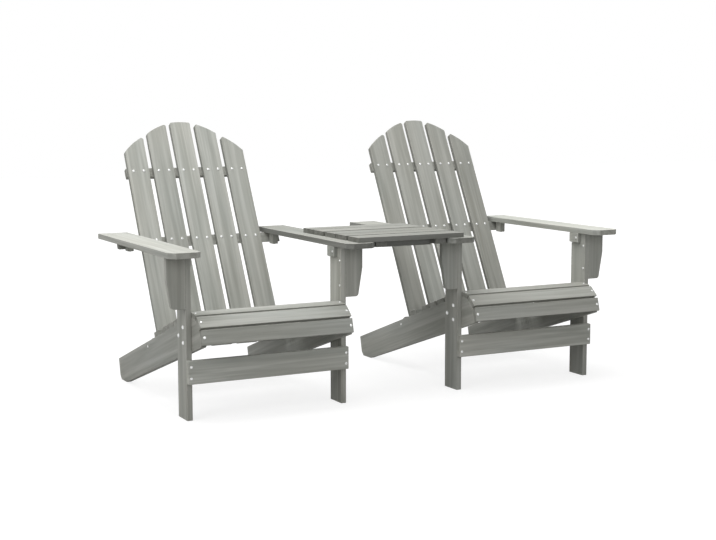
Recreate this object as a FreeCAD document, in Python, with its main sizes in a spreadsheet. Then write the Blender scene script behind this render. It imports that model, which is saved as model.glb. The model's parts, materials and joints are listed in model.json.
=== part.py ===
"""Companion seat bench: two slatted garden chairs joined by a small slatted table.

Units are millimetres and degrees. X runs along the bench, the chairs face -Y and Z is up. The
origin is on the ground, under the middle of the bench. Each chair is the same set of boards,
screwed and bolted together, so one function builds it and runs once for each side. Heights are
measured from the ground and distances along Y from the front face of the front legs, unless a
note says otherwise.
"""

import FreeCAD
import Part
import Sketcher
import math
import os

NODE_FOLDER = "parts"
SIDES = (("left", -1), ("right", 1))
BACK_SLATS = 5
NOSE_SLATS = 3
SLOPE_SLATS = 5
SEAT_SLATS = NOSE_SLATS + SLOPE_SLATS + 1  # the rear slat lies behind a wider gap
TABLE_SLATS = 5

doc = FreeCAD.newDocument("companion_seat_bench")
sheet = doc.addObject("Spreadsheet::Sheet", "Sizes")
sheet.Label = "Sizes"

nodes = []
next_row = [1]


def write_cell(alias, content, note):
    """Put one value or formula in the sheet, with its name and what it is."""
    row = next_row[0]
    sheet.set("A%d" % row, note)
    sheet.set("B%d" % row, content)
    sheet.setAlias("B%d" % row, alias)
    next_row[0] = row + 1


def derived(alias, formula, note):
    """A value that follows from the driving dimensions."""
    write_cell(alias, "=" + formula, note)


# Driving dimensions

DRIVING_SIZES = {
    "chair_spacing": 978,  # distance between the middles of the two chairs
    "leg_span": 552,  # front legs of one chair, outer face to outer face
    "leg_width": 80,  # front leg, front to back
    "frame_board": 18,  # thickness of legs, stringers, stretchers, rails and brackets
    "slat_board": 16,  # thickness of seat, back and table slats
    "arm_board": 18,  # thickness of the arms and battens
    "arm_height": 533,  # top of the arms
    "stretcher_bottom": 117,  # lower edge of the front stretcher
    "stretcher_height": 74,  # height of the front stretcher

    "arm_outboard": 75,  # arm past the outer face of its leg
    "arm_inboard": 30,  # arm inwards from the outer face of its leg
    "arm_front": 78,  # arm ahead of the legs
    "arm_rear": 655,  # rear end of the arm
    "arm_clip": 20,  # clipped front corners of the arm

    "bracket_reach": 61,  # bracket under the arm, out from the leg
    "bracket_foot": 45,  # width of the bracket at its lower end
    "bracket_height": 164,  # height of the bracket
    "bracket_straight": 69,  # straight upper part of the bracket's outer edge
    "bracket_round": 12,  # rounding of the bracket's lower corner
    "cleat_depth": 51,  # cleat inside the leg, front to back
    "cleat_setback": 3,  # cleat's rear end ahead of the leg's back edge
    "cleat_height": 34,  # height of the cleat
    "cleat_board": 12,  # thickness of the cleat
    "block_width": 21,  # block under the arm's rear, across the chair
    "block_depth": 30,  # block, front to back
    "block_height": 38,  # height of the block
    "block_outboard": 4,  # block past the outer face of the leg

    "seat_slat_width": 47,  # width of a seat slat
    "seat_slat_gap": 8,  # gap between seat slats
    "seat_end_gap": 1,  # seat slat end to leg
    "nose_ahead": 94.5,  # lower front edge of the front slat, ahead of the legs
    "nose_height": 246.5,  # lower front edge of the front slat, above ground
    "nose_slope_1": 75,  # front slat from level
    "nose_slope_2": 39.5,  # second slat from level
    "nose_slope_3": 6,  # third slat from level
    "seat_slope": 19,  # fall of the seat towards the back
    "rear_slat_gap": 43,  # wider gap ahead of the rear seat slat
    "heel_front": 664,  # front end of the stringer's foot
    "heel_rear": 748,  # rear end of the stringer, at its top
    "heel_lean": 14,  # how far the stringer's rear end leans back
    "heel_chamfer": 14,  # corner taken off the stringer's rear foot

    "recline": 27.7,  # back from upright
    "back_foot": 303.6,  # where the front of the back would meet the ground
    "back_side_gap": 16,  # outer back slat to the inner face of its stringer
    "back_slat_gap": 17,  # gap between back slats
    "back_bottom": 160,  # lower end of the back slats
    "crown_height": 916,  # top of the middle back slat
    "arch_drop": 120,  # fall of the arch, along the slats, at the back's outer edge
    "arch_power": 1.65,  # how sharply the arch falls away
    "arch_edge_radius": 230,  # curve of each back slat's own top edge
    "slat_corner": 8,  # rounding of the back slats' top corners

    "rail_width": 35,  # width of the upper and lower back rails
    "upper_rail_drop": 184,  # middle of the upper rail below the crown
    "lower_rail_height": 174,  # middle of the lower rail
    "lower_screw_drop": 8,  # end screws of the lower rail below its middle
    "upper_rail_reach": 3,  # upper rail past the outer slats
    "middle_rail_height": 33,  # height of the middle rail, under the arms
    "middle_rail_reach": 25,  # middle rail past the legs' outer faces

    "table_length": 397,  # table slats along the bench
    "table_slat_width": 75,  # width of a table slat
    "table_close_gap": 6,  # second and fourth gaps between table slats
    "table_open_gap": 14,  # first and third gaps between table slats
    "table_setback": 16,  # front of the table behind the front of the arms
    "batten_width": 40,  # width of the battens under the table
    "batten_arm_gap": 6,  # batten to arm
    "batten_setback": 6,  # batten ends in from the table's edge
    "cross_rail_setback": 30,  # cross rail behind the ends of the battens
    "cross_rail_board": 22,  # thickness of the cross rail

    "screw_shank": 4,  # screw diameter
    "screw_head": 8.5,  # screw head diameter
    "screw_head_rise": 2.2,  # height of a screw head
    "screw_head_rim": 1,  # straight rim of a screw head
    "screw_head_flat": 5.3,  # flat top of a screw head
    "recess_length": 4.6,  # cross recess, tip to tip
    "recess_width": 1,  # width of the cross recess
    "recess_depth": 1.4,  # depth of the cross recess
    "short_screw": 28,  # length of a short screw under the head
    "long_screw": 42,  # length of a long screw under the head
    "arm_bite": 10,  # depth of the upright screws in the arm
    "hole_clearance": 0.2,  # hole radius past the shank, and depth past the tip
    "bolt_shank": 6,  # bolt diameter
    "bolt_head": 13,  # bolt head diameter
    "bolt_head_rise": 3.5,  # height of a bolt head
    "bolt_head_rim": 1.4,  # straight rim of a bolt head
    "bolt_head_flat": 7.8,  # flat top of a bolt head
    "nut_width": 10,  # nut across flats
    "nut_height": 5,  # nut thickness
    "bolt_end": 3,  # bolt past its nut
    "back_screw_offset": 19,  # screws either side of a back slat's middle
    "stretcher_screw_offset": 18,  # screws above and below the stretcher's middle
    "bolt_front": 25,  # front pair of bolts
    "bolt_rear": 65,  # single rear bolt
    "bolt_high": 291,  # upper front bolt
    "bolt_middle": 260,  # rear bolt
    "bolt_low": 242,  # lower front bolt
    "bracket_screw_high": 45,  # upper bracket screw below the leg's top
    "bracket_screw_low": 126,  # lower bracket screw below the leg's top
    "cleat_screw_inset": 12,  # cleat screw behind the cleat's front end
    "cleat_screw_rear": 13,  # upright screw ahead of the cleat's rear end
    "block_screw_front": 10,  # upright screw behind the block's front
    "cross_screw_offset": 40,  # cross rail screws either side of the table's middle
}

for alias, number_in_cell in DRIVING_SIZES.items():
    write_cell(alias, str(number_in_cell), alias.replace("_", " "))

# Sizes that follow from them

derived("leg_height", "arm_height - arm_board", "front leg, up to the underside of the arm")
derived("leg_inner", "leg_span / 2 - frame_board", "inner face of a leg from the chair's middle")
derived("stringer_inner", "leg_inner - frame_board", "inner face of a stringer")
derived("stringer_middle", "leg_inner - frame_board / 2", "middle of a stringer's thickness")
derived("seat_length", "2 * (leg_inner - seat_end_gap)", "length of the seat slats")
derived("seat_pitch", "seat_slat_width + seat_slat_gap", "one seat slat to the next")
derived("back_slat_width", "(2 * (stringer_inner - back_side_gap) - %d * back_slat_gap) / %d"
        % (BACK_SLATS - 1, BACK_SLATS), "width of a back slat")
derived("back_pitch", "back_slat_width + back_slat_gap", "one back slat to the next")
derived("back_half", "%d * back_pitch + back_slat_width / 2" % (BACK_SLATS // 2),
        "half the width of the back")
derived("crown_along", "crown_height / cos(recline)", "top of the back, along the slats")
derived("back_bottom_along", "back_bottom / cos(recline)", "foot of the back, along the slats")
derived("rail_depth", "slat_board + frame_board / 2", "middle of the rails behind the slats' front")
derived("upper_rail_along", "(crown_height - upper_rail_drop) / cos(recline)"
        " + rail_depth * tan(recline)",
        "middle of the upper rail, along the slats")
derived("lower_rail_along", "lower_rail_height / cos(recline) + rail_depth * tan(recline)",
        "middle of the lower rail, along the slats")
derived("middle_rail_top", "leg_height", "the arms rest on the middle rail")
derived("middle_rail_bottom", "leg_height - middle_rail_height", "lower edge of the middle rail")
derived("slat_slant", "slat_board / cos(recline)", "a back slat's thickness along Y")
derived("rail_slant", "frame_board / cos(recline)", "a back rail's thickness along Y")
derived("middle_rail_along", "(leg_height - middle_rail_height / 2) / cos(recline)"
        " + rail_depth * tan(recline)", "middle of the middle rail, along the slats")
derived("back_rear", "back_foot + crown_along * sin(recline) + slat_board * cos(recline)",
        "rearmost point of the back")
derived("leg_front", "(nose_ahead - back_rear) / 2", "legs' front face, from the origin along Y")
derived("block_rear", "back_foot + slat_slant + middle_rail_bottom * tan(recline)",
        "rear of the blocks, at the lower front edge of the middle rail")
derived("cleat_screw", "cleat_height + arm_bite", "screw up through a cleat into the arm")
derived("block_screw", "block_height + arm_bite", "screw up through a block into the arm")
derived("arm_gap_half", "chair_spacing / 2 - leg_span / 2 - arm_outboard",
        "outer edge of an inner arm from the bench's middle")
derived("table_front", "table_setback - arm_front", "front of the table")
derived("table_depth", "%d * table_slat_width + %d * table_open_gap + %d * table_close_gap"
        % (TABLE_SLATS, TABLE_SLATS // 2, (TABLE_SLATS - 1) // 2), "table, front to back")


def facet_angle(facet):
    """Angle of seat facet number `facet`, counted from the nose, as sheet text."""
    if facet <= NOSE_SLATS:
        return "nose_slope_%d" % facet
    return "-seat_slope"


def write_seat_line():
    """Corners of the seat's top line and of the stringer's edge that the slats rest on.

    The slats meet in mitres, so a corner of the stringer's edge is one slat thickness below the
    seat's corner, along the line that halves the angle between the two slats.
    """
    derived("seat_y_0", "-nose_ahead", "seat corner 0 along Y")
    derived("seat_z_0", "nose_height", "seat corner 0 height")
    last = SEAT_SLATS + 1
    for corner in range(1, last + 1):
        step = "seat_pitch"
        if corner == last - 1:
            step = "(rear_slat_gap - seat_slat_gap)"
        angle = facet_angle(corner)
        before = corner - 1
        derived("seat_y_%d" % corner, "seat_y_%d + %s * cos(%s)" % (before, step, angle),
                "seat corner %d along Y" % corner)
        derived("seat_z_%d" % corner, "seat_z_%d + %s * sin(%s)" % (before, step, angle),
                "seat corner %d height" % corner)
    for corner in range(last + 1):
        here = facet_angle(max(corner, 1))
        ahead = facet_angle(min(corner + 1, last))
        mean = "((%s + %s) / 2)" % (here, ahead)
        half = "((%s - %s) / 2)" % (here, ahead)
        reach = "slat_board / cos%s" % half
        derived("rest_y_%d" % corner, "seat_y_%d + %s * sin%s" % (corner, reach, mean),
                "stringer corner %d along Y" % corner)
        derived("rest_z_%d" % corner, "seat_z_%d - %s * cos%s" % (corner, reach, mean),
                "stringer corner %d height" % corner)
    derived("heel_height", "rest_z_3 - (heel_rear - rest_y_3) * tan(seat_slope)",
            "height of the stringer's rear end")


def write_arch():
    """Height of the arch, along the slats, at the edges of the middle slat and its neighbours."""
    for ring in range(BACK_SLATS // 2 + 1):
        middle = "%d * back_pitch" % ring
        for edge, sign in (("near", "-"), ("far", "+")):
            across = "abs(%s %s back_slat_width / 2)" % (middle, sign)
            derived("arch_%s_%d" % (edge, ring),
                    "crown_along - arch_drop * pow(%s / back_half; arch_power)" % across,
                    "top of back slat %d from the middle, %s edge" % (ring, edge))


write_seat_line()
write_arch()
doc.recompute()


def in_sheet(text):
    """Turn the sheet's names in a formula into references from another object."""
    words = []
    word = ""
    for letter in text + " ":
        if letter.isalnum() or letter == "_":
            word += letter
            continue
        if word and word in known_names:
            word = "Sizes." + word
        words.append(word + letter)
        word = ""
    return "".join(words).strip()


known_names = set()
for cell_row in range(1, next_row[0]):
    known_names.add(sheet.getAlias("B%d" % cell_row))


def number(text):
    """Present value of a formula."""
    return float(sheet.evalExpression(text))


def bind(target, path, text):
    """Bind one property of an object to a formula of the sheet's names."""
    target.setExpression(path, in_sheet(text))


def bind_place(target, place, axis=None, angle=None):
    """Bind an object's position, and its turn about one axis, to formulas."""
    if axis:
        rotation = FreeCAD.Rotation(axis, number(angle))
        target.Placement = FreeCAD.Placement(FreeCAD.Vector(), rotation)
        bind(target, ".Placement.Rotation.Angle", angle)
    for letter, text in zip("xyz", place):
        bind(target, ".Placement.Base." + letter, text)


def chair_x(side, text="0"):
    """X of a point of one chair, from the bench's middle."""
    sign = "-" if side < 0 else ""
    return "%schair_spacing / 2 + (%s)" % (sign, text)


def from_legs(text):
    """Y of a point that is measured from the front face of the legs."""
    return "leg_front + (%s)" % text


TOUCHING = 0.01  # points nearer than this are the same point
ALONG_X = FreeCAD.Vector(1, 0, 0)
ALONG_Y = FreeCAD.Vector(0, 1, 0)


def round_corners(body, label, radius, spots):
    """Round the edges that run through the board's thickness at the given sketch points."""
    doc.recompute()
    base = body.Tip
    names = []
    for index, edge in enumerate(base.Shape.Edges):
        ends = [vertex.Point for vertex in edge.Vertexes]
        through = len(ends) == 2 and abs(ends[0].y - ends[1].y) > TOUCHING
        if through and any(near_spot(ends[0], spot) for spot in spots):
            names.append("Edge%d" % (index + 1))
    fillet = body.newObject("PartDesign::Fillet", label + "_corners")
    fillet.Base = (base, names)
    fillet.Radius = number(radius)
    bind(fillet, "Radius", radius)


def near_spot(point, spot):
    """Whether a point lies over a spot of the XZ plane."""
    return abs(point.x - spot.x) < TOUCHING and abs(point.z - spot.y) < TOUCHING


def make_board(label, plane, outline, thickness, place, tilt=None, reverse=False, arc=None,
               corners_to_round=None):
    """A board cut to an outline: a sketch on one of the body's own planes, padded.

    `outline` lists the corners as pairs of formulas. `arc` is the index of the edge that is an
    arc of radius arch_edge_radius, bulging away from the board. `corners_to_round` gives a
    radius and the indexes of the corners that get it.
    """
    body = doc.addObject("PartDesign::Body", label + "_body")
    base = [item for item in body.Origin.OriginFeatures if item.Role == plane][0]
    sketch = body.newObject("Sketcher::SketchObject", label + "_outline")
    sketch.AttachmentSupport = [(base, "")]
    sketch.MapMode = "FlatFace"
    corners = [FreeCAD.Vector(number(u), number(v), 0) for u, v in outline]
    count = len(corners)
    for index in range(count):
        start = corners[index]
        end = corners[(index + 1) % count]
        if index == arc:
            radius = number("arch_edge_radius")
            chord = end - start
            outward = FreeCAD.Vector(chord.y, -chord.x, 0).normalize()
            bulge = radius - (radius ** 2 - (chord.Length / 2) ** 2) ** 0.5
            top = (start + end) * 0.5 + outward * bulge
            sketch.addGeometry(Part.Arc(start, top, end))
        else:
            sketch.addGeometry(Part.LineSegment(start, end))
    for index in range(count):
        sketch.addConstraint(Sketcher.Constraint("Coincident", index, 2, (index + 1) % count, 1))
    for index, (u, v) in enumerate(outline):
        corner = corners[index]
        for kind, text, value in (("DistanceX", u, corner.x), ("DistanceY", v, corner.y)):
            row = sketch.addConstraint(Sketcher.Constraint(
                kind, -1, 1, index, 1, value))
            bind(sketch, "Constraints[%d]" % row, text)
    if arc is not None:
        row = sketch.addConstraint(Sketcher.Constraint(
            "Radius", arc, number("arch_edge_radius")))
        bind(sketch, "Constraints[%d]" % row, "arch_edge_radius")
    pad = body.newObject("PartDesign::Pad", label + "_pad")
    pad.Profile = sketch
    pad.Reversed = reverse
    pad.Length = number(thickness)
    bind(pad, "Length", thickness)
    sketch.Visibility = False
    if corners_to_round:
        radius, indexes = corners_to_round
        round_corners(body, label, radius, [corners[index] for index in indexes])
    if tilt:
        bind_place(body, place, ALONG_X, tilt)
    else:
        bind_place(body, place)
    return body


def rectangle(left, bottom, right, top):
    """Corners of an upright rectangle, as formulas."""
    return [(left, bottom), (right, bottom), (right, top), (left, top)]


# Fasteners

screw_lengths = {"short": "short_screw", "long": "long_screw", "cleat": "cleat_screw",
                 "block": "block_screw"}
screws = []
bolts = []
holes_for = {}


def turned_solid(points):
    """Solid of revolution about Z through points given as radius and height."""
    corners = [FreeCAD.Vector(radius, 0, height) for radius, height in points]
    wire = Part.makePolygon(corners + [corners[0]])
    return Part.Face(wire).revolve(FreeCAD.Vector(), FreeCAD.Vector(0, 0, 1), 360)


def screw_shape(length):
    """Pan-head screw: the head's underside is at zero and the shank points down."""
    shank = number("screw_shank") / 2
    head = number("screw_head") / 2
    rise = number("screw_head_rise")
    turned = turned_solid([(0, -length), (shank, shank - length), (shank, 0), (head, 0),
                           (head, number("screw_head_rim")),
                           (number("screw_head_flat") / 2, rise), (0, rise)])
    span = number("recess_length")
    slot = number("recess_width")
    depth = number("recess_depth")
    bars = [Part.makeBox(span, slot, depth, FreeCAD.Vector(-span / 2, -slot / 2, rise - depth)),
            Part.makeBox(slot, span, depth, FreeCAD.Vector(-slot / 2, -span / 2, rise - depth))]
    return turned.cut(bars[0].fuse(bars[1]).removeSplitter())


def bolt_shape():
    """Round-head bolt through leg and stringer, with its nut."""
    grip = 2 * number("frame_board")
    shank = number("bolt_shank") / 2
    head = number("bolt_head") / 2
    rise = number("bolt_head_rise")
    end = -grip - number("nut_height") - number("bolt_end")
    shaft = turned_solid([(0, end), (shank, end), (shank, 0), (head, 0),
                          (head, number("bolt_head_rim")),
                          (number("bolt_head_flat") / 2, rise), (0, rise)])
    corner = number("nut_width") / 2 / math.cos(math.radians(30))
    sides = []
    for turn in range(7):
        sides.append(FreeCAD.Rotation(FreeCAD.Vector(0, 0, 1), 60 * turn).multVec(
            FreeCAD.Vector(corner, 0, -grip)))
    nut = Part.Face(Part.makePolygon(sides)).extrude(
        FreeCAD.Vector(0, 0, -number("nut_height")))
    return shaft.fuse(nut).removeSplitter()


def add_fastener(kind, place, axis, angle, boards):
    """Set a screw or bolt at a place, and note its hole in the boards it passes through."""
    count = len(screws) + len(bolts) + 1
    item = doc.addObject("Part::Feature", "%s_%d" % (kind, count))
    if kind == "bolt":
        item.Shape = bolt_shape()
        length = "2 * frame_board"
        shank = "bolt_shank"
        bolts.append(item)
    else:
        length = screw_lengths[kind]
        item.Shape = screw_shape(number(length))
        shank = "screw_shank"
        screws.append(item)
    bind_place(item, place, axis, angle)
    hole = doc.addObject("Part::Cylinder", "hole_%d" % count)
    bind(hole, "Radius", "%s / 2 + hole_clearance" % shank)
    bind(hole, "Height", "%s + hole_clearance" % length)
    # A cylinder grows upwards, so the hole is turned over to follow the shank.
    bind_place(hole, place, axis, "%s + 180" % angle)
    for board in boards:
        holes_for.setdefault(board.Name, []).append(hole)


def add_node(name, pieces):
    """Name a sub-part. Boards with fasteners get their holes here."""
    shapes = []
    for piece in pieces:
        holes = holes_for.get(piece.Name)
        if holes:
            drills = doc.addObject("Part::Compound", piece.Name + "_drills")
            drills.Links = holes
            drilled = doc.addObject("Part::Cut", piece.Name + "_drilled")
            drilled.Base = piece
            drilled.Tool = drills
            shapes.append(drilled)
        else:
            shapes.append(piece)
    if len(shapes) == 1:
        node = shapes[0]
    else:
        node = doc.addObject("Part::Compound", name + "_group")
        node.Links = shapes
    node.Label = name
    nodes.append(node)


# Boards of one chair

def make_front_leg(name, side, hand):
    """Front leg: a board on edge, from the ground to the arm."""
    left = "leg_inner" if hand > 0 else "-leg_span / 2"
    return make_board(name, "YZ_Plane", rectangle("0", "0", "leg_width", "leg_height"),
                      "frame_board", (chair_x(side, left), from_legs("0"), "0"))


def make_stringer(name, side, hand):
    """Stringer: seat bearer and rear leg in one board, from the seat's nose to the ground."""
    left = "stringer_inner" if hand > 0 else "-leg_inner"
    outline = [("rest_y_0", "rest_z_0"),
               ("heel_front", "0"),
               ("heel_rear - heel_lean - heel_chamfer", "0"),
               ("heel_rear - heel_lean", "heel_chamfer"),
               ("heel_rear", "heel_height"),
               ("rest_y_3", "rest_z_3"),
               ("rest_y_2", "rest_z_2"),
               ("rest_y_1", "rest_z_1")]
    return make_board(name, "YZ_Plane", outline, "frame_board",
                      (chair_x(side, left), from_legs("0"), "0"))


def make_seat_slat(name, side, number_in_seat):
    """Seat slat on the stringers' upper edge, mitred where the seat bends."""
    first = number_in_seat - 1
    if number_in_seat == SEAT_SLATS:
        first = number_in_seat
    second = first + 1
    angle = facet_angle(second)
    along = "seat_slat_gap / 2 * cos(%s)" % angle
    across = "seat_slat_gap / 2 * sin(%s)" % angle
    outline = []
    for line, corner, sign in (("rest", first, "+"), ("rest", second, "-"),
                               ("seat", second, "-"), ("seat", first, "+")):
        outline.append(("%s_y_%d %s %s" % (line, corner, sign, along),
                        "%s_z_%d %s %s" % (line, corner, sign, across)))
    board = make_board(name, "YZ_Plane", outline, "seat_length",
                       (chair_x(side, "-seat_length / 2"), from_legs("0"), "0"))
    middle_y = "(seat_y_%d + seat_y_%d) / 2" % (first, second)
    middle_z = "(seat_z_%d + seat_z_%d) / 2" % (first, second)
    return board, middle_y, middle_z, angle


def make_arm(name, side, hand):
    """Arm board, flat on the leg, the bracket and the middle rail."""
    outer = "(leg_span / 2 + arm_outboard)"
    inner = "(leg_span / 2 - arm_inboard)"
    low = inner if hand > 0 else "-" + outer
    high = outer if hand > 0 else "-" + inner
    outline = [("%s + arm_clip" % low, "-arm_front"),
               ("%s - arm_clip" % high, "-arm_front"),
               (high, "arm_clip - arm_front"),
               (high, "arm_rear"),
               (low, "arm_rear"),
               (low, "arm_clip - arm_front")]
    return make_board(name, "XY_Plane", outline, "arm_board",
                      (chair_x(side), from_legs("0"), "leg_height"))


def make_bracket(name, side, hand):
    """Tapered bracket on the outer face of the leg, under the arm."""
    near = "leg_span / 2" if hand > 0 else "-leg_span / 2"
    sign = "+" if hand > 0 else "-"
    reach = "%s %s bracket_reach" % (near, sign)
    foot = "%s %s bracket_foot" % (near, sign)
    low = "leg_height - bracket_height"
    outline = [(near, low),
               (foot, low),
               (reach, "leg_height - bracket_straight"),
               (reach, "leg_height"),
               (near, "leg_height")]
    rounded = 1
    if hand < 0:
        outline.reverse()
        rounded = 3
    return make_board(name, "XZ_Plane", outline, "frame_board",
                      (chair_x(side), from_legs("0"), "0"), reverse=True,
                      corners_to_round=("bracket_round", [rounded]))


def make_cleat(name, side, hand):
    """Small cleat on the inner face of the leg, under the arm's inner edge."""
    left = "leg_inner - cleat_board" if hand > 0 else "-leg_inner"
    rear = "leg_width - cleat_setback"
    outline = rectangle(rear + " - cleat_depth", "leg_height - cleat_height", rear,
                        "leg_height")
    return make_board(name, "YZ_Plane", outline, "cleat_board",
                      (chair_x(side, left), from_legs("0"), "0"))


def make_block(name, side, hand):
    """Small block under the arm's rear, against the front of the middle rail."""
    outer = "(leg_span / 2 + block_outboard)"
    left = outer + " - block_width" if hand > 0 else "-" + outer
    outline = rectangle("block_rear - block_depth", "leg_height - block_height",
                        "block_rear", "leg_height")
    return make_board(name, "YZ_Plane", outline, "block_width",
                      (chair_x(side, left), from_legs("0"), "0"))


def make_back_slat(name, side, slat):
    """Back slat with its part of the arch cut on its top end."""
    offset = slat - (BACK_SLATS + 1) // 2
    ring = abs(offset)
    left = "%d * back_pitch - back_slat_width / 2" % offset
    right = "%d * back_pitch + back_slat_width / 2" % offset
    left_top = "arch_%s_%d" % ("near" if offset >= 0 else "far", ring)
    right_top = "arch_%s_%d" % ("far" if offset >= 0 else "near", ring)
    outline = [(left, "back_bottom_along"),
               (right, "back_bottom_along"),
               (right, right_top),
               (left, left_top)]
    return make_board(name, "XZ_Plane", outline, "slat_board",
                      (chair_x(side), from_legs("back_foot"), "0"), tilt="-recline",
                      reverse=True, arc=2, corners_to_round=("slat_corner", [2, 3]))


def make_back_rail(name, side, half_length, along):
    """Rail behind the back slats, parallel to them."""
    outline = rectangle("-(%s)" % half_length, "%s - rail_width / 2" % along,
                        half_length, "%s + rail_width / 2" % along)
    rail = make_board(name, "XZ_Plane", outline, "frame_board",
                      (chair_x(side), from_legs("back_foot + slat_board * cos(recline)"),
                       "-slat_board * sin(recline)"), tilt="-recline", reverse=True)
    return rail


def make_middle_rail(name, side):
    """Rail behind the back slats that carries the arms, with level edges."""
    front_top = "back_foot + middle_rail_top * tan(recline) + slat_slant"
    front_bottom = "back_foot + middle_rail_bottom * tan(recline) + slat_slant"
    outline = [(front_bottom, "middle_rail_bottom"),
               (front_bottom + " + rail_slant", "middle_rail_bottom"),
               (front_top + " + rail_slant", "middle_rail_top"),
               (front_top, "middle_rail_top")]
    return make_board(name, "YZ_Plane", outline, "leg_span + 2 * middle_rail_reach",
                      (chair_x(side, "-leg_span / 2 - middle_rail_reach"), from_legs("0"), "0"))


def slat_point(along, depth="0"):
    """Y and Z of a point `along` the slats from the ground and `depth` behind their front."""
    y = "back_foot + (%s) * sin(recline) + (%s) * cos(recline)" % (along, depth)
    z = "(%s) * cos(recline) - (%s) * sin(recline)" % (along, depth)
    return from_legs(y), z


def fasten_back(side, slats, rails):
    """Two screws through each back slat into each of the three rails."""
    heights = {"upper": "upper_rail_along", "middle": "middle_rail_along",
               "lower": "lower_rail_along"}
    for level, rail in rails.items():
        for slat, board in enumerate(slats, 1):
            offset = slat - (BACK_SLATS + 1) // 2
            for sign in ("-", "+"):
                across = "%d * back_pitch %s back_screw_offset" % (offset, sign)
                along = heights[level]
                y, z = slat_point(along)
                add_fastener("short", (chair_x(side, across), y, z), ALONG_X, "90 - recline",
                             [board, rail])


def fasten_side(side, hand, boards, lower_rail, middle_rail):
    """Bolts and screws of one side of a chair."""
    sign = "" if hand > 0 else "-"
    outward = "90" if hand > 0 else "-90"
    inward = "-90" if hand > 0 else "90"
    leg = boards["leg"]
    stringer = boards["stringer"]
    cleat = boards["cleat"]
    arm = boards["arm"]
    outer_face = chair_x(side, sign + "leg_span / 2")
    inner_face = chair_x(side, sign + "leg_inner")
    for y, z in (("bolt_front", "bolt_high"), ("bolt_rear", "bolt_middle"),
                 ("bolt_front", "bolt_low")):
        add_fastener("bolt", (outer_face, from_legs(y), z), ALONG_Y, outward, [leg, stringer])
    for drop in ("bracket_screw_high", "bracket_screw_low"):
        add_fastener("long", (inner_face, from_legs("frame_board / 2"), "leg_height - " + drop),
                     ALONG_Y, inward, [leg, boards["bracket"]])

    cleat_rear = "leg_width - cleat_setback"
    cleat_face = chair_x(side, "%s(leg_inner - cleat_board)" % sign)
    cleat_front = from_legs(cleat_rear + " - cleat_depth + cleat_screw_inset")
    add_fastener("short", (cleat_face, cleat_front, "leg_height - cleat_height / 2"),
                 ALONG_Y, inward, [cleat, leg])
    cleat_middle = chair_x(side, "%s(leg_inner - cleat_board / 2)" % sign)
    add_fastener("cleat", (cleat_middle, from_legs(cleat_rear + " - cleat_screw_rear"),
                           "leg_height - cleat_height"), ALONG_X, "180", [cleat, arm])

    block = boards["block"]
    block_middle = chair_x(side, "%s(leg_span / 2 + block_outboard - block_width / 2)" % sign)
    block_front = from_legs("block_rear - block_depth + block_screw_front")
    add_fastener("block", (block_middle, block_front, "leg_height - block_height"),
                 ALONG_X, "180", [block, arm])
    rail_y, rail_z = slat_point("middle_rail_along", "slat_board + frame_board")
    add_fastener("long", (block_middle, rail_y, rail_z), ALONG_X, "-90 - recline",
                 [middle_rail, block])

    lower_y, lower_z = slat_point("lower_rail_along - lower_screw_drop", "rail_depth")
    add_fastener("long", (inner_face, lower_y, lower_z), ALONG_Y, outward,
                 [stringer, lower_rail])


def make_chair(word, side):
    """All boards of one chair, their fasteners and their nodes."""
    prefix = word + "_"
    back = [make_back_slat("%sback_slat_%d" % (prefix, slat), side, slat)
            for slat in range(1, BACK_SLATS + 1)]
    rails = {
        "upper": make_back_rail(prefix + "upper_back_rail", side,
                                "back_half + upper_rail_reach", "upper_rail_along"),
        "middle": make_middle_rail(prefix + "middle_back_rail", side),
        "lower": make_back_rail(prefix + "lower_back_rail", side, "stringer_inner",
                                "lower_rail_along"),
    }
    fasten_back(side, back, rails)

    sides = {}
    for hand_word, hand in SIDES:
        ending = "_" + hand_word
        sides[hand] = {
            "leg": make_front_leg(prefix + "front_leg" + ending, side, hand),
            "stringer": make_stringer(prefix + "stringer" + ending, side, hand),
            "arm": make_arm(prefix + "arm" + ending, side, hand),
            "bracket": make_bracket(prefix + "arm_bracket" + ending, side, hand),
            "cleat": make_cleat(prefix + "arm_cleat" + ending, side, hand),
            "block": make_block(prefix + "arm_block" + ending, side, hand),
        }
        fasten_side(side, hand, sides[hand], rails["lower"], rails["middle"])

    seat = []
    for slat in range(1, SEAT_SLATS + 1):
        board, y, z, angle = make_seat_slat("%sseat_slat_%d" % (prefix, slat), side, slat)
        seat.append(board)
        for _, hand in SIDES:
            across = "stringer_middle" if hand > 0 else "-stringer_middle"
            add_fastener("short", (chair_x(side, across), from_legs(y), z), ALONG_X, angle,
                         [board, sides[hand]["stringer"]])

    stretcher = make_board(prefix + "front_stretcher", "XZ_Plane",
                           rectangle("-leg_span / 2", "stretcher_bottom", "leg_span / 2",
                                     "stretcher_bottom + stretcher_height"),
                           "frame_board", (chair_x(side), from_legs("0"), "0"))
    for _, hand in SIDES:
        across = "%s(leg_span / 2 - frame_board / 2)" % ("" if hand > 0 else "-")
        for sign in ("-", "+"):
            height = ("stretcher_bottom + stretcher_height / 2 %s stretcher_screw_offset" % sign)
            add_fastener("long", (chair_x(side, across), from_legs("-frame_board"), height),
                         ALONG_X, "90", [stretcher, sides[hand]["leg"]])

    for slat, board in enumerate(back, 1):
        add_node("%sback_slat_%d" % (prefix, slat), [board])
    for slat, board in enumerate(seat, 1):
        add_node("%sseat_slat_%d" % (prefix, slat), [board])
    for level, rail in rails.items():
        add_node("%s%s_back_rail" % (prefix, level), [rail])
    for hand_word, hand in SIDES:
        add_node("%sfront_leg_%s" % (prefix, hand_word), [sides[hand]["leg"]])
        add_node("%sstringer_%s" % (prefix, hand_word), [sides[hand]["stringer"]])
    add_node(prefix + "front_stretcher", [stretcher])
    return sides


# Table between the chairs

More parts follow.
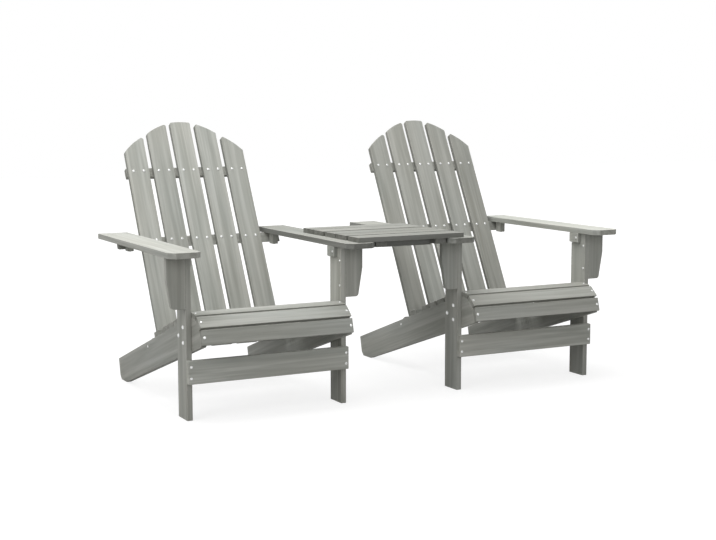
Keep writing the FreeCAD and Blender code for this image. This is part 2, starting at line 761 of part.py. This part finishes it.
def table_slat_front(slat):
    """Front edge of a table slat, counted from the front, as a formula."""
    opens = slat // 2
    closes = (slat - 1) // 2
    return ("table_front + %d * table_slat_width + %d * table_open_gap"
            " + %d * table_close_gap" % (slat - 1, opens, closes))


def make_table(left_chair, right_chair):
    """Five slats laid on the two inner arms, with two battens and a cross rail under them."""
    slats = []
    for slat in range(1, TABLE_SLATS + 1):
        slats.append(make_board("table_slat_%d" % slat, "XY_Plane",
                                rectangle("-table_length / 2", "0", "table_length / 2",
                                          "table_slat_width"),
                                "slat_board",
                                ("0", from_legs(table_slat_front(slat)), "arm_height")))
    battens = []
    inner_arms = (left_chair[1]["arm"], right_chair[-1]["arm"])
    for hand_word, hand in SIDES:
        left = "arm_gap_half - batten_arm_gap - batten_width"
        if hand < 0:
            left = "-arm_gap_half + batten_arm_gap"
        battens.append(make_board("table_batten_" + hand_word, "XY_Plane",
                                  rectangle("0", "0", "batten_width",
                                            "table_depth - 2 * batten_setback"),
                                  "arm_board",
                                  (left, from_legs("table_front + batten_setback"),
                                   "leg_height")))
    half = "(arm_gap_half - batten_arm_gap - batten_width)"
    cross_rail = make_board("table_cross_rail", "XY_Plane",
                            rectangle("-" + half, "0", half, "batten_width"),
                            "cross_rail_board",
                            ("0", from_legs("table_front + batten_setback"
                                            " + cross_rail_setback"),
                             "arm_height - cross_rail_board"))
    lap = "(arm_gap_half + (table_length / 2 - arm_gap_half) / 2)"
    batten_middle = "(arm_gap_half - batten_arm_gap - batten_width / 2)"
    for slat, board in enumerate(slats, 1):
        y = from_legs(table_slat_front(slat) + " + table_slat_width / 2")
        for index, (_, hand) in enumerate(SIDES):
            sign = "-" if hand < 0 else ""
            add_fastener("short", (sign + lap, y, "leg_height"), ALONG_X, "180",
                         [inner_arms[index], board])
            add_fastener("short", (sign + batten_middle, y, "leg_height"), ALONG_X, "180",
                         [battens[index], board])
    cross_y = from_legs("table_front + batten_setback + cross_rail_setback + batten_width / 2")
    for sign in ("-", ""):
        add_fastener("short", (sign + "cross_screw_offset", cross_y,
                               "arm_height - cross_rail_board"), ALONG_X, "180",
                     [cross_rail, slats[0]])
    for slat, board in enumerate(slats, 1):
        add_node("table_slat_%d" % slat, [board])
    add_node("table_battens", battens)
    add_node("table_cross_rail", [cross_rail])


def make_arm_nodes(chairs):
    """The arms, once the table's screws are known, and the three kinds of support for them."""
    for (word, _), sides in zip(SIDES, chairs):
        for hand_word, hand in SIDES:
            add_node("%s_arm_%s" % (word, hand_word), [sides[hand]["arm"]])
    for kind in ("bracket", "cleat", "block"):
        add_node("arm_%ss" % kind, [sides[hand][kind] for sides in chairs for _, hand in SIDES])


def check_and_write():
    """Stop on any failed object, then write one file for each node."""
    doc.recompute()
    for item in doc.Objects:
        if "Invalid" in item.State or "Error" in item.State:
            raise RuntimeError("%s failed: %s" % (item.Label, item.State))
    os.makedirs(NODE_FOLDER, exist_ok=True)
    labels = [node.Label for node in nodes]
    if len(set(labels)) != len(labels):
        raise RuntimeError("two nodes share a name")
    for node in nodes:
        if node.Shape.isNull() or not node.Shape.isValid():
            raise RuntimeError("%s has no valid shape" % node.Label)
        node.Shape.exportStep(os.path.join(NODE_FOLDER, node.Label + ".step"))
    print("%d nodes, %d screws, %d bolts" % (len(nodes), len(screws), len(bolts)))


chairs = [make_chair(word, side) for word, side in SIDES]
make_table(*chairs)
make_arm_nodes(chairs)

screw_group = doc.addObject("Part::Compound", "all_screws")
screw_group.Links = screws
add_node("wood_screws", [screw_group])
bolt_group = doc.addObject("Part::Compound", "all_bolts")
bolt_group.Links = bolts
add_node("leg_bolts", [bolt_group])

check_and_write()
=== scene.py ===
"""Two slatted armchairs joined by a small table, in grey-washed wood, on a white floor."""

import json
import math
import random

import bpy
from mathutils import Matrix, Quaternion, Vector

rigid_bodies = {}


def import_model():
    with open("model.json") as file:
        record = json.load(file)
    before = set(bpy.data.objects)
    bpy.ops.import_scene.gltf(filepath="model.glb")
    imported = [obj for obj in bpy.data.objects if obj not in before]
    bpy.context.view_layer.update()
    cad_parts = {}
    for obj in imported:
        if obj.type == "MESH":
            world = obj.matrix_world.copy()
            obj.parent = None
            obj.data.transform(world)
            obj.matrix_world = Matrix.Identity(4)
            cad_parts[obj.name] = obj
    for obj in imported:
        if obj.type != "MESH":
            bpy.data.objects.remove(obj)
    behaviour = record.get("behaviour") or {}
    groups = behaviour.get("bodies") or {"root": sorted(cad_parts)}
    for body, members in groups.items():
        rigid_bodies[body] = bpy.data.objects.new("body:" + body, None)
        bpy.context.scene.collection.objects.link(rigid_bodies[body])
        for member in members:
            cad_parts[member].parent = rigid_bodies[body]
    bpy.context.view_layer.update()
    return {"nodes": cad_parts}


# Slopes of the boards, in degrees
RECLINE = 27.7
SEAT_SLOPE = 19.0
NOSE_SLOPES = {"1": 75.0, "2": 39.5, "3": 6.0}

# Rounding of the boards' long edges, in metres
EDGE_ROUND = 0.0014
EDGE_SEGMENTS = 2
WELD_DISTANCE = 0.00002

# An outline that reaches no further than this, in metres, is the rim of a screw hole
HOLE_GROUP = 0.030

# An edge no longer than this, in metres, is a facet of a rounded corner
SHORT_EDGE = 0.004

# Faces that meet at this cosine or a larger one belong to one smooth surface
SHARP_COSINE = 0.92

# Lightness of the wood: single boards, with the arms' tones painted light and shade that follow
# how brightly each arm is lit, then kinds of board, then the chance between boards
BOARD_TONES_WITH_PAINTED_LIGHT = {"left_arm_left": 1.24, "left_arm_right": 0.98, "right_arm_left": 1.08,
               "right_arm_right": 1.66, "right_back_slat_5": 0.95}
# The stretcher's tone is painted lighter, against the shade that the seat casts on it
KIND_TONES = {"table": 0.78, "stretcher": 1.36, "seat": 1.03, "leg": 1.06, "stringer": 1.02,
              "right_back_slat": 0.99, "back_slat": 1.08}
BOARD_VARIETY = (0.93, 1.06)

# Painted shade on a board's narrow faces: their lightness as a share of its broad ones
ARM_EDGE_SHADE = {"left_arm_left": 0.86, "left_arm_right": 0.52, "right_arm_right": 0.66}
FLAT_BOARD_EDGE_SHADE = 0.60
BACK_EDGE_SHADE = 0.80
NO_EDGE_SHADE = 1.0

# Colours that a board's own lightness changes
LIGHT_WOOD = (0.470, 0.474, 0.437)
DARK_WOOD = (0.262, 0.268, 0.236)
COOL_WOOD = (0.368, 0.392, 0.374)
WARM_WOOD = (0.405, 0.393, 0.346)
END_DARK = (0.235, 0.235, 0.205)
END_LIGHT = (0.335, 0.335, 0.300)

# Colour of a worn rim, the same on every board
WORN_WOOD = (0.56, 0.55, 0.50)

# Texture scale along a board against that across it: the smaller, the longer the pattern
RINGS_ALONG = 0.045
FIBRES_ALONG = 0.02
PATCHES_ALONG = 0.30
KNOTS_ALONG = 0.45

# How far away a board's own piece of pattern can lie, in metres
PATTERN_REACH = 9

# How much of each pattern shows in the colour
HUE_AMOUNT = 0.34
STREAK_AMOUNT = 0.38
DRIFT_AMOUNT = 0.34
KNOT_AMOUNT = 0.35
END_AMOUNT = 0.55
WEAR_AMOUNT = 0.5

# Knots per metre, and where a knot fades out, as a share of their spacing
KNOTS_PER_METRE = 7.0
KNOT_FADES = (0.05, 0.13)

# Cosine between a face and the broad side, where the painted shade of narrow faces fades into the
# broad ones
EDGE_SHADE_FADE = (0.45, 0.85)

# The same cosine where the worn rim between them begins, and where it ends
RIM_BEGINS = (0.20, 0.36)
RIM_ENDS = (0.94, 0.98)

# Cosine between a face and the board's length, where end grain begins
END_GRAIN = (0.70, 0.92)

# Gloss of the wood, and roughness of its dark and its light bands
WOOD_GLOSS = 0.45
WOOD_ROUGHNESS = (0.80, 0.66)

# Relief: shares of rings and streaks in the wood, then depth in metres with strength
RING_RELIEF = 0.45
STREAK_RELIEF = 0.55
WOOD_RELIEF = (0.0004, 0.45)
METAL_RELIEF = (0.00008, 0.4)

# Zinc: colour and roughness, how dark its dull patches are, and how metallic it is
SCREW_ZINC = ((0.86, 0.87, 0.86), 0.30)
BOLT_ZINC = ((0.84, 0.85, 0.84), 0.34)
DULL_ZINC = 0.80
METALLIC = 0.75

# Floor: half its side in metres, and its grey under the lamps
FLOOR_REACH = 14.0
FLOOR_GREY = 0.30

# Glow of the floor in the middle, which grows to plain white between two distances in metres
FLOOR_GLOW = 0.80
FLOOR_NEAR = 1.3
FLOOR_FAR = 3.2

# Light from all around
SOFT_LIGHT = 0.40

# Lamps: name, place, spot that it points at, width and height, power in watts
LAMPS = (("lamp_top", (-0.6, 0.2, 3.4), (0.0, 0.0, 0.3), (3.2, 2.8), 92.0),
         ("lamp_left", (-3.4, -1.2, 2.2), (0.0, 0.0, 0.4), (2.0, 1.6), 31.0),
         ("lamp_front", (0.8, -4.2, 1.9), (0.0, 0.0, 0.4), (3.0, 1.8), 17.0))

# Camera, from the photograph's viewing angle
CAMERA_PLACE = (-2.1665, -4.1725, 0.9627)
CAMERA_YAW = 27.606
CAMERA_PITCH = -6.947
CAMERA_ROLL = 0.095
SENSOR_WIDTH = 36.0
FOCAL_LENGTH = 66.94

for leftover in list(bpy.data.objects):
    bpy.data.objects.remove(leftover)

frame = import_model()
nodes = frame["nodes"]


# Node tree helpers

def new_material(name):
    """An empty material with its shader and output."""
    material = bpy.data.materials.new(name)
    material.use_nodes = True
    tree = material.node_tree
    tree.nodes.clear()
    output = tree.nodes.new("ShaderNodeOutputMaterial")
    shader = tree.nodes.new("ShaderNodeBsdfPrincipled")
    tree.links.new(shader.outputs["BSDF"], output.inputs["Surface"])
    return material, tree, shader


def put(tree, socket, value):
    """Give an input socket a number, a colour or another node's output."""
    if isinstance(value, bpy.types.NodeSocket):
        tree.links.new(value, socket)
    else:
        socket.default_value = value


def math_node(tree, operation, first, second=0.0):
    """One arithmetic step."""
    node = tree.nodes.new("ShaderNodeMath")
    node.operation = operation
    put(tree, node.inputs[0], first)
    put(tree, node.inputs[1], second)
    return node.outputs[0]


def noise_node(tree, vector, scale, detail=3.0, roughness=0.5, distortion=0.0):
    """Noise from 0 to 1 at a scale per metre."""
    node = tree.nodes.new("ShaderNodeTexNoise")
    put(tree, node.inputs["Vector"], vector)
    node.inputs["Scale"].default_value = scale
    node.inputs["Detail"].default_value = detail
    node.inputs["Roughness"].default_value = roughness
    node.inputs["Distortion"].default_value = distortion
    return node.outputs["Fac"]


def spread(tree, value, low, high, new_low=0.0, new_high=1.0):
    """Stretch a range of values to another range."""
    node = tree.nodes.new("ShaderNodeMapRange")
    put(tree, node.inputs["Value"], value)
    node.inputs["From Min"].default_value = low
    node.inputs["From Max"].default_value = high
    node.inputs["To Min"].default_value = new_low
    node.inputs["To Max"].default_value = new_high
    return node.outputs["Result"]


def blend_colours(tree, share, first, second, kind="MIX"):
    """Mix two colours."""
    node = tree.nodes.new("ShaderNodeMix")
    node.data_type = "RGBA"
    node.blend_type = kind
    put(tree, node.inputs["Factor"], share)
    put(tree, node.inputs["A"], first)
    put(tree, node.inputs["B"], second)
    return node.outputs["Result"]


def bump_node(tree, height, distance, strength):
    """Surface relief from a height."""
    node = tree.nodes.new("ShaderNodeBump")
    node.inputs["Strength"].default_value = strength
    node.inputs["Distance"].default_value = distance
    put(tree, node.inputs["Height"], height)
    return node.outputs["Normal"]


def stretched(tree, vector, share):
    """Texture place with a smaller X scale, so that a pattern runs along the board."""
    node = tree.nodes.new("ShaderNodeMapping")
    node.inputs["Scale"].default_value = (share, 1.0, 1.0)
    put(tree, node.inputs["Vector"], vector)
    return node.outputs["Vector"]


def plainly_seen(tree):
    """1 for camera, glossy and transmission rays, and 0 for all others."""
    rays = tree.nodes.new("ShaderNodeLightPath")
    indirect = math_node(tree, "MAXIMUM", rays.outputs["Is Glossy Ray"],
                         rays.outputs["Is Transmission Ray"])
    return math_node(tree, "MAXIMUM", rays.outputs["Is Camera Ray"], indirect)


def toned(colour, tone):
    """A colour made lighter or darker."""
    return tuple(channel * tone for channel in colour) + (1.0,)


# Wood: a thin grey wash that lets the grain through

def grain_turn(grain):
    """Turn that brings a board's length onto the texture's X axis."""
    if grain == "across":
        return (0.0, 0.0, 0.0)
    if grain == "deep":
        return (0.0, 0.0, math.radians(-90))
    if grain == "upright":
        return (0.0, math.radians(90), 0.0)
    if grain == "reclined":
        return (math.radians(RECLINE), math.radians(90), 0.0)
    return (math.radians(SEAT_SLOPE), 0.0, math.radians(-90))


def wood_material(name, grain, tone, seed, flat, edge_shade):
    """Washed softwood.

    `tone` is the board's lightness, with painted light and shade on some boards, `seed` its own
    piece of pattern, `flat` the direction its broad faces look in, and `edge_shade` the painted
    shade of its narrow faces against the broad ones.
    """
    dice = random.Random(seed)
    material, tree, shader = new_material(name)
    place = tree.nodes.new("ShaderNodeTexCoord").outputs["Object"]

    turned = tree.nodes.new("ShaderNodeMapping")
    turned.inputs["Rotation"].default_value = grain_turn(grain)
    turned.inputs["Location"].default_value = [dice.uniform(-PATTERN_REACH, PATTERN_REACH)
                                               for _ in range(3)]
    put(tree, turned.inputs["Vector"], place)
    board = turned.outputs["Vector"]
    ring_place = stretched(tree, board, RINGS_ALONG)

    # Growth rings cut lengthwise: soft bands that wander slowly along the board
    drift = noise_node(tree, ring_place, 11.0, detail=1.0, roughness=0.4)
    drift_share = spread(tree, drift, 0.33, 0.67)
    rings = noise_node(tree, ring_place, 42.0, roughness=0.6, distortion=0.25)
    ring_share = spread(tree, rings, 0.36, 0.62)
    fibre_place = stretched(tree, board, FIBRES_ALONG)
    streaks = noise_node(tree, fibre_place, 110.0, detail=2.0, roughness=0.6)
    streak_share = spread(tree, streaks, 0.42, 0.60)
    patch_place = stretched(tree, board, PATCHES_ALONG)
    patches = noise_node(tree, patch_place, 9.0, detail=1.0, roughness=0.4)
    patch_share = spread(tree, patches, 0.30, 0.70)

    light = toned(LIGHT_WOOD, tone)
    dark = toned(DARK_WOOD, tone)
    bands = blend_colours(tree, ring_share, dark, light)
    hue = blend_colours(tree, patch_share, toned(COOL_WOOD, tone), toned(WARM_WOOD, tone))
    washed = blend_colours(tree, HUE_AMOUNT, bands, hue)
    fine = math_node(tree, "MULTIPLY", streak_share, STREAK_AMOUNT)
    lined = blend_colours(tree, fine, washed, dark)
    broad = math_node(tree, "MULTIPLY", drift_share, DRIFT_AMOUNT)
    surface = blend_colours(tree, broad, lined, light)

    # Knots, few and faint
    knots = tree.nodes.new("ShaderNodeTexVoronoi")
    knots.feature = "F1"
    knots.inputs["Scale"].default_value = KNOTS_PER_METRE
    put(tree, knots.inputs["Vector"], stretched(tree, board, KNOTS_ALONG))
    knot_share = spread(tree, knots.outputs["Distance"], *KNOT_FADES, KNOT_AMOUNT, 0.0)
    surface = blend_colours(tree, knot_share, surface, dark)

    # End grain is darker
    geometry = tree.nodes.new("ShaderNodeNewGeometry")
    normal_turn = tree.nodes.new("ShaderNodeMapping")
    normal_turn.vector_type = "NORMAL"
    normal_turn.inputs["Rotation"].default_value = grain_turn(grain)
    put(tree, normal_turn.inputs["Vector"], geometry.outputs["True Normal"])
    split = tree.nodes.new("ShaderNodeSeparateXYZ")
    put(tree, split.inputs["Vector"], normal_turn.outputs["Vector"])
    facing = math_node(tree, "ABSOLUTE", split.outputs["X"])
    end_share = spread(tree, facing, *END_GRAIN, 0.0, END_AMOUNT)
    end_tone = blend_colours(tree, ring_share, toned(END_DARK, tone), toned(END_LIGHT, tone))
    surface = blend_colours(tree, end_share, surface, end_tone)

    # Painted shade makes the narrow faces darker, and the worn rim between them and the broad
    # ones is paler
    towards = tree.nodes.new("ShaderNodeVectorMath")
    towards.operation = "DOT_PRODUCT"
    put(tree, towards.inputs[0], geometry.outputs["True Normal"])
    towards.inputs[1].default_value = flat
    broad_face = math_node(tree, "ABSOLUTE", towards.outputs["Value"])
    shade = spread(tree, broad_face, *EDGE_SHADE_FADE, edge_shade, 1.0)
    surface = blend_colours(tree, 1.0, surface, shade, "MULTIPLY")
    rim = math_node(tree, "MULTIPLY", spread(tree, broad_face, *RIM_BEGINS),
                    spread(tree, broad_face, *RIM_ENDS, 1.0, 0.0))
    chips = spread(tree, noise_node(tree, board, 85.0, detail=4.0, roughness=0.7), 0.42, 0.62)
    wear = math_node(tree, "MULTIPLY", math_node(tree, "MULTIPLY", rim, chips), WEAR_AMOUNT)
    surface = blend_colours(tree, wear, surface, toned(WORN_WOOD, 1.0))
    put(tree, shader.inputs["Base Color"], surface)

    put(tree, shader.inputs["Roughness"], spread(tree, rings, 0.3, 0.7, *WOOD_ROUGHNESS))
    shader.inputs["Specular IOR Level"].default_value = WOOD_GLOSS
    relief = math_node(tree, "ADD", math_node(tree, "MULTIPLY", ring_share, RING_RELIEF),
                       math_node(tree, "MULTIPLY", streak_share, STREAK_RELIEF))
    put(tree, shader.inputs["Normal"], bump_node(tree, relief, *WOOD_RELIEF))
    return material


def metal_material(name, base, roughness):
    """Zinc-plated steel with a little mottling."""
    material, tree, shader = new_material(name)
    place = tree.nodes.new("ShaderNodeTexCoord").outputs["Object"]
    mottle = spread(tree, noise_node(tree, place, 260.0, roughness=0.6), 0.35, 0.65)
    brushed = spread(tree, noise_node(tree, place, 1400.0, detail=2.0, roughness=0.6), 0.3, 0.7)
    put(tree, shader.inputs["Base Color"],
        blend_colours(tree, mottle, toned(base, DULL_ZINC), toned(base, 1.0)))
    put(tree, shader.inputs["Roughness"],
        spread(tree, mottle, 0.0, 1.0, roughness + 0.08, roughness - 0.06))
    shader.inputs["Metallic"].default_value = METALLIC
    put(tree, shader.inputs["Normal"], bump_node(tree, brushed, *METAL_RELIEF))
    return material


def tone_of(node):
    """How light a node's wood is, with painted light and shade on the arms and the stretcher."""
    if node in BOARD_TONES_WITH_PAINTED_LIGHT:
        return BOARD_TONES_WITH_PAINTED_LIGHT[node]
    for word, tone in KIND_TONES.items():
        if word in node:
            return tone
    return 1.0


def level_normal(slope):
    """Upward normal of a board that rises towards the back at an angle in degrees."""
    turn = math.radians(slope)
    return (0.0, -math.sin(turn), math.cos(turn))


def edge_shade_of(node):
    """Direction of a node's broad faces, and the painted shade of its narrow faces against them.
    """
    if "_arm_" in node:
        return level_normal(0.0), ARM_EDGE_SHADE.get(node, FLAT_BOARD_EDGE_SHADE)
    if "table" in node:
        return level_normal(0.0), FLAT_BOARD_EDGE_SHADE
    if "back" in node:
        return level_normal(90.0 - RECLINE), BACK_EDGE_SHADE
    if "seat" in node:
        return level_normal(NOSE_SLOPES.get(node[-1], -SEAT_SLOPE)), NO_EDGE_SHADE
    if "stretcher" in node or node == "arm_brackets":
        return level_normal(90.0), NO_EDGE_SHADE
    return (1.0, 0.0, 0.0), NO_EDGE_SHADE


def grain_of(node):
    """Which way the wood runs in a node."""
    if "back_slat" in node:
        return "reclined"
    if "stringer" in node:
        return "sloped"
    if "leg" in node or node in ("arm_brackets", "arm_cleats", "arm_blocks"):
        return "upright"
    if "arm_" in node or node == "table_battens":
        return "deep"
    return "across"


def ease_edges(thing):
    """Round the long edges of a board.

    The rims of its screw holes and the short facets of its rounded corners stay as they are.
    """
    mesh = thing.data
    uses = {}
    normals = {}
    spots = [tuple(round(value, 5) for value in vertex.co) for vertex in mesh.vertices]
    for face in mesh.polygons:
        for pair in face.edge_keys:
            uses[pair] = uses.get(pair, 0) + 1
            ends = frozenset((spots[pair[0]], spots[pair[1]]))
            normals.setdefault(ends, []).append(face.normal.copy())
    group_of = {}

    def find(spot):
        """The spot that stands for the whole outline a spot lies on."""
        group_of.setdefault(spot, spot)
        while group_of[spot] != spot:
            group_of[spot] = group_of[group_of[spot]]
            spot = group_of[spot]
        return spot

    outline = [pair for pair, count in uses.items() if count == 1]
    for first, second in outline:
        group_of[find(spots[first])] = find(spots[second])
    members = {}
    for spot in list(group_of):
        members.setdefault(find(spot), []).append(spot)
    long_groups = set()
    for group, group_spots in members.items():
        reach = max(max(spot[axis] for spot in group_spots) -
                    min(spot[axis] for spot in group_spots) for axis in range(3))
        if reach > HOLE_GROUP:
            long_groups.add(group)
    eased = set()
    for first, second in outline:
        meeting = normals[frozenset((spots[first], spots[second]))]
        sharp = min(meeting[0].dot(other) for other in meeting) < SHARP_COSINE
        length = (mesh.vertices[first].co - mesh.vertices[second].co).length
        if sharp and length > SHORT_EDGE and find(spots[first]) in long_groups:
            eased.add((first, second))
            eased.add((second, first))
    weights = [1.0 if tuple(edge.vertices) in eased else 0.0 for edge in mesh.edges]
    layer = mesh.attributes.new("bevel_weight_edge", "FLOAT", "EDGE")
    layer.data.foreach_set("value", weights)
    weld = thing.modifiers.new("weld", "WELD")
    weld.merge_threshold = WELD_DISTANCE
    bevel = thing.modifiers.new("eased", "BEVEL")
    bevel.limit_method = "WEIGHT"
    bevel.width = EDGE_ROUND
    bevel.segments = EDGE_SEGMENTS
    bevel.use_clamp_overlap = False
    normals_by_area = thing.modifiers.new("flat", "WEIGHTED_NORMAL")
    normals_by_area.mode = "FACE_AREA"
    normals_by_area.weight = 100
    normals_by_area.keep_sharp = True


# Every board gets wood with its own piece of pattern, every fastener gets metal

screw_metal = metal_material("screw_zinc", *SCREW_ZINC)
bolt_metal = metal_material("bolt_zinc", *BOLT_ZINC)
for node in sorted(nodes):
    thing = nodes[node]
    if node == "wood_screws":
        finish = screw_metal
    elif node == "leg_bolts":
        finish = bolt_metal
    else:
        seed = sum((index + 1) * ord(letter) for index, letter in enumerate(node))
        # The tone carries painted light and shade on the arms and the stretcher
        tone = tone_of(node) * random.Random(seed).uniform(*BOARD_VARIETY)
        # Direction of the broad faces, and the painted shade of the narrow ones
        flat, edge_shade = edge_shade_of(node)
        finish = wood_material("wood_" + node, grain_of(node), tone, seed, flat, edge_shade)
        ease_edges(thing)
    for slot in thing.material_slots:
        slot.material = finish

# Floor and background

floor_mesh = bpy.data.meshes.new("floor")
floor_corners = [(-FLOOR_REACH, -FLOOR_REACH, 0), (FLOOR_REACH, -FLOOR_REACH, 0),
                 (FLOOR_REACH, FLOOR_REACH, 0), (-FLOOR_REACH, FLOOR_REACH, 0)]
floor_mesh.from_pydata(floor_corners, [], [(0, 1, 2, 3)])
floor = bpy.data.objects.new("floor", floor_mesh)
bpy.context.scene.collection.objects.link(floor)
floor_material, floor_tree, floor_shader = new_material("floor_white")
floor_place = floor_tree.nodes.new("ShaderNodeTexCoord").outputs["Object"]
mottle = spread(floor_tree, noise_node(floor_tree, floor_place, 3.0), 0.3, 0.7, 0.98, 1.0)
away = floor_tree.nodes.new("ShaderNodeVectorMath")
away.operation = "LENGTH"
put(floor_tree, away.inputs[0], floor_place)
paper = spread(floor_tree, away.outputs["Value"], FLOOR_NEAR, FLOOR_FAR, FLOOR_GLOW, 1.0)
floor_shader.inputs["Base Color"].default_value = (FLOOR_GREY, FLOOR_GREY, FLOOR_GREY, 1.0)
floor_shader.inputs["Roughness"].default_value = 0.9
floor_shader.inputs["Specular IOR Level"].default_value = 0.1
floor_shader.inputs["Emission Color"].default_value = (1.0, 1.0, 1.0, 1.0)
put(floor_tree, floor_shader.inputs["Emission Strength"],
    math_node(floor_tree, "MULTIPLY", math_node(floor_tree, "MULTIPLY", paper, mottle),
              plainly_seen(floor_tree)))
floor_mesh.materials.append(floor_material)

world = bpy.data.worlds.new("studio")
bpy.context.scene.world = world
world.use_nodes = True
world_tree = world.node_tree
world_tree.nodes.clear()
world_output = world_tree.nodes.new("ShaderNodeOutputWorld")
soft_light = world_tree.nodes.new("ShaderNodeBackground")
soft_light.inputs["Color"].default_value = (1.0, 1.0, 1.0, 1.0)
soft_light.inputs["Strength"].default_value = SOFT_LIGHT
seen = world_tree.nodes.new("ShaderNodeBackground")
seen.inputs["Color"].default_value = (1.0, 1.0, 1.0, 1.0)
seen.inputs["Strength"].default_value = 1.0
choice = world_tree.nodes.new("ShaderNodeMixShader")
world_tree.links.new(plainly_seen(world_tree), choice.inputs["Fac"])
world_tree.links.new(soft_light.outputs["Background"], choice.inputs[1])
world_tree.links.new(seen.outputs["Background"], choice.inputs[2])
world_tree.links.new(choice.outputs["Shader"], world_output.inputs["Surface"])


# Lamps

def soft_box(name, place, target, size, power):
    """A large rectangular lamp that points at a spot."""
    lamp = bpy.data.lights.new(name, "AREA")
    lamp.shape = "RECTANGLE"
    lamp.size = size[0]
    lamp.size_y = size[1]
    lamp.energy = power
    holder = bpy.data.objects.new(name, lamp)
    holder.location = place
    holder.rotation_euler = (Vector(target) - Vector(place)).to_track_quat("-Z", "Y").to_euler()
    bpy.context.scene.collection.objects.link(holder)


for lamp_values in LAMPS:
    soft_box(*lamp_values)

# Camera

lens = bpy.data.cameras.new("camera")
lens.sensor_fit = "HORIZONTAL"
lens.sensor_width = SENSOR_WIDTH
lens.lens = FOCAL_LENGTH
lens.clip_start = 0.05
camera = bpy.data.objects.new("camera", lens)
camera.location = CAMERA_PLACE
yaw = math.radians(CAMERA_YAW)
pitch = math.radians(CAMERA_PITCH)
ahead = Vector((math.sin(yaw) * math.cos(pitch), math.cos(yaw) * math.cos(pitch),
                math.sin(pitch)))
turn = ahead.to_track_quat("-Z", "Y") @ Quaternion((0, 0, -1), math.radians(CAMERA_ROLL))
camera.rotation_euler = turn.to_euler()
bpy.context.scene.collection.objects.link(camera)
bpy.context.scene.camera = camera
bpy.context.scene.view_settings.view_transform = "Standard"
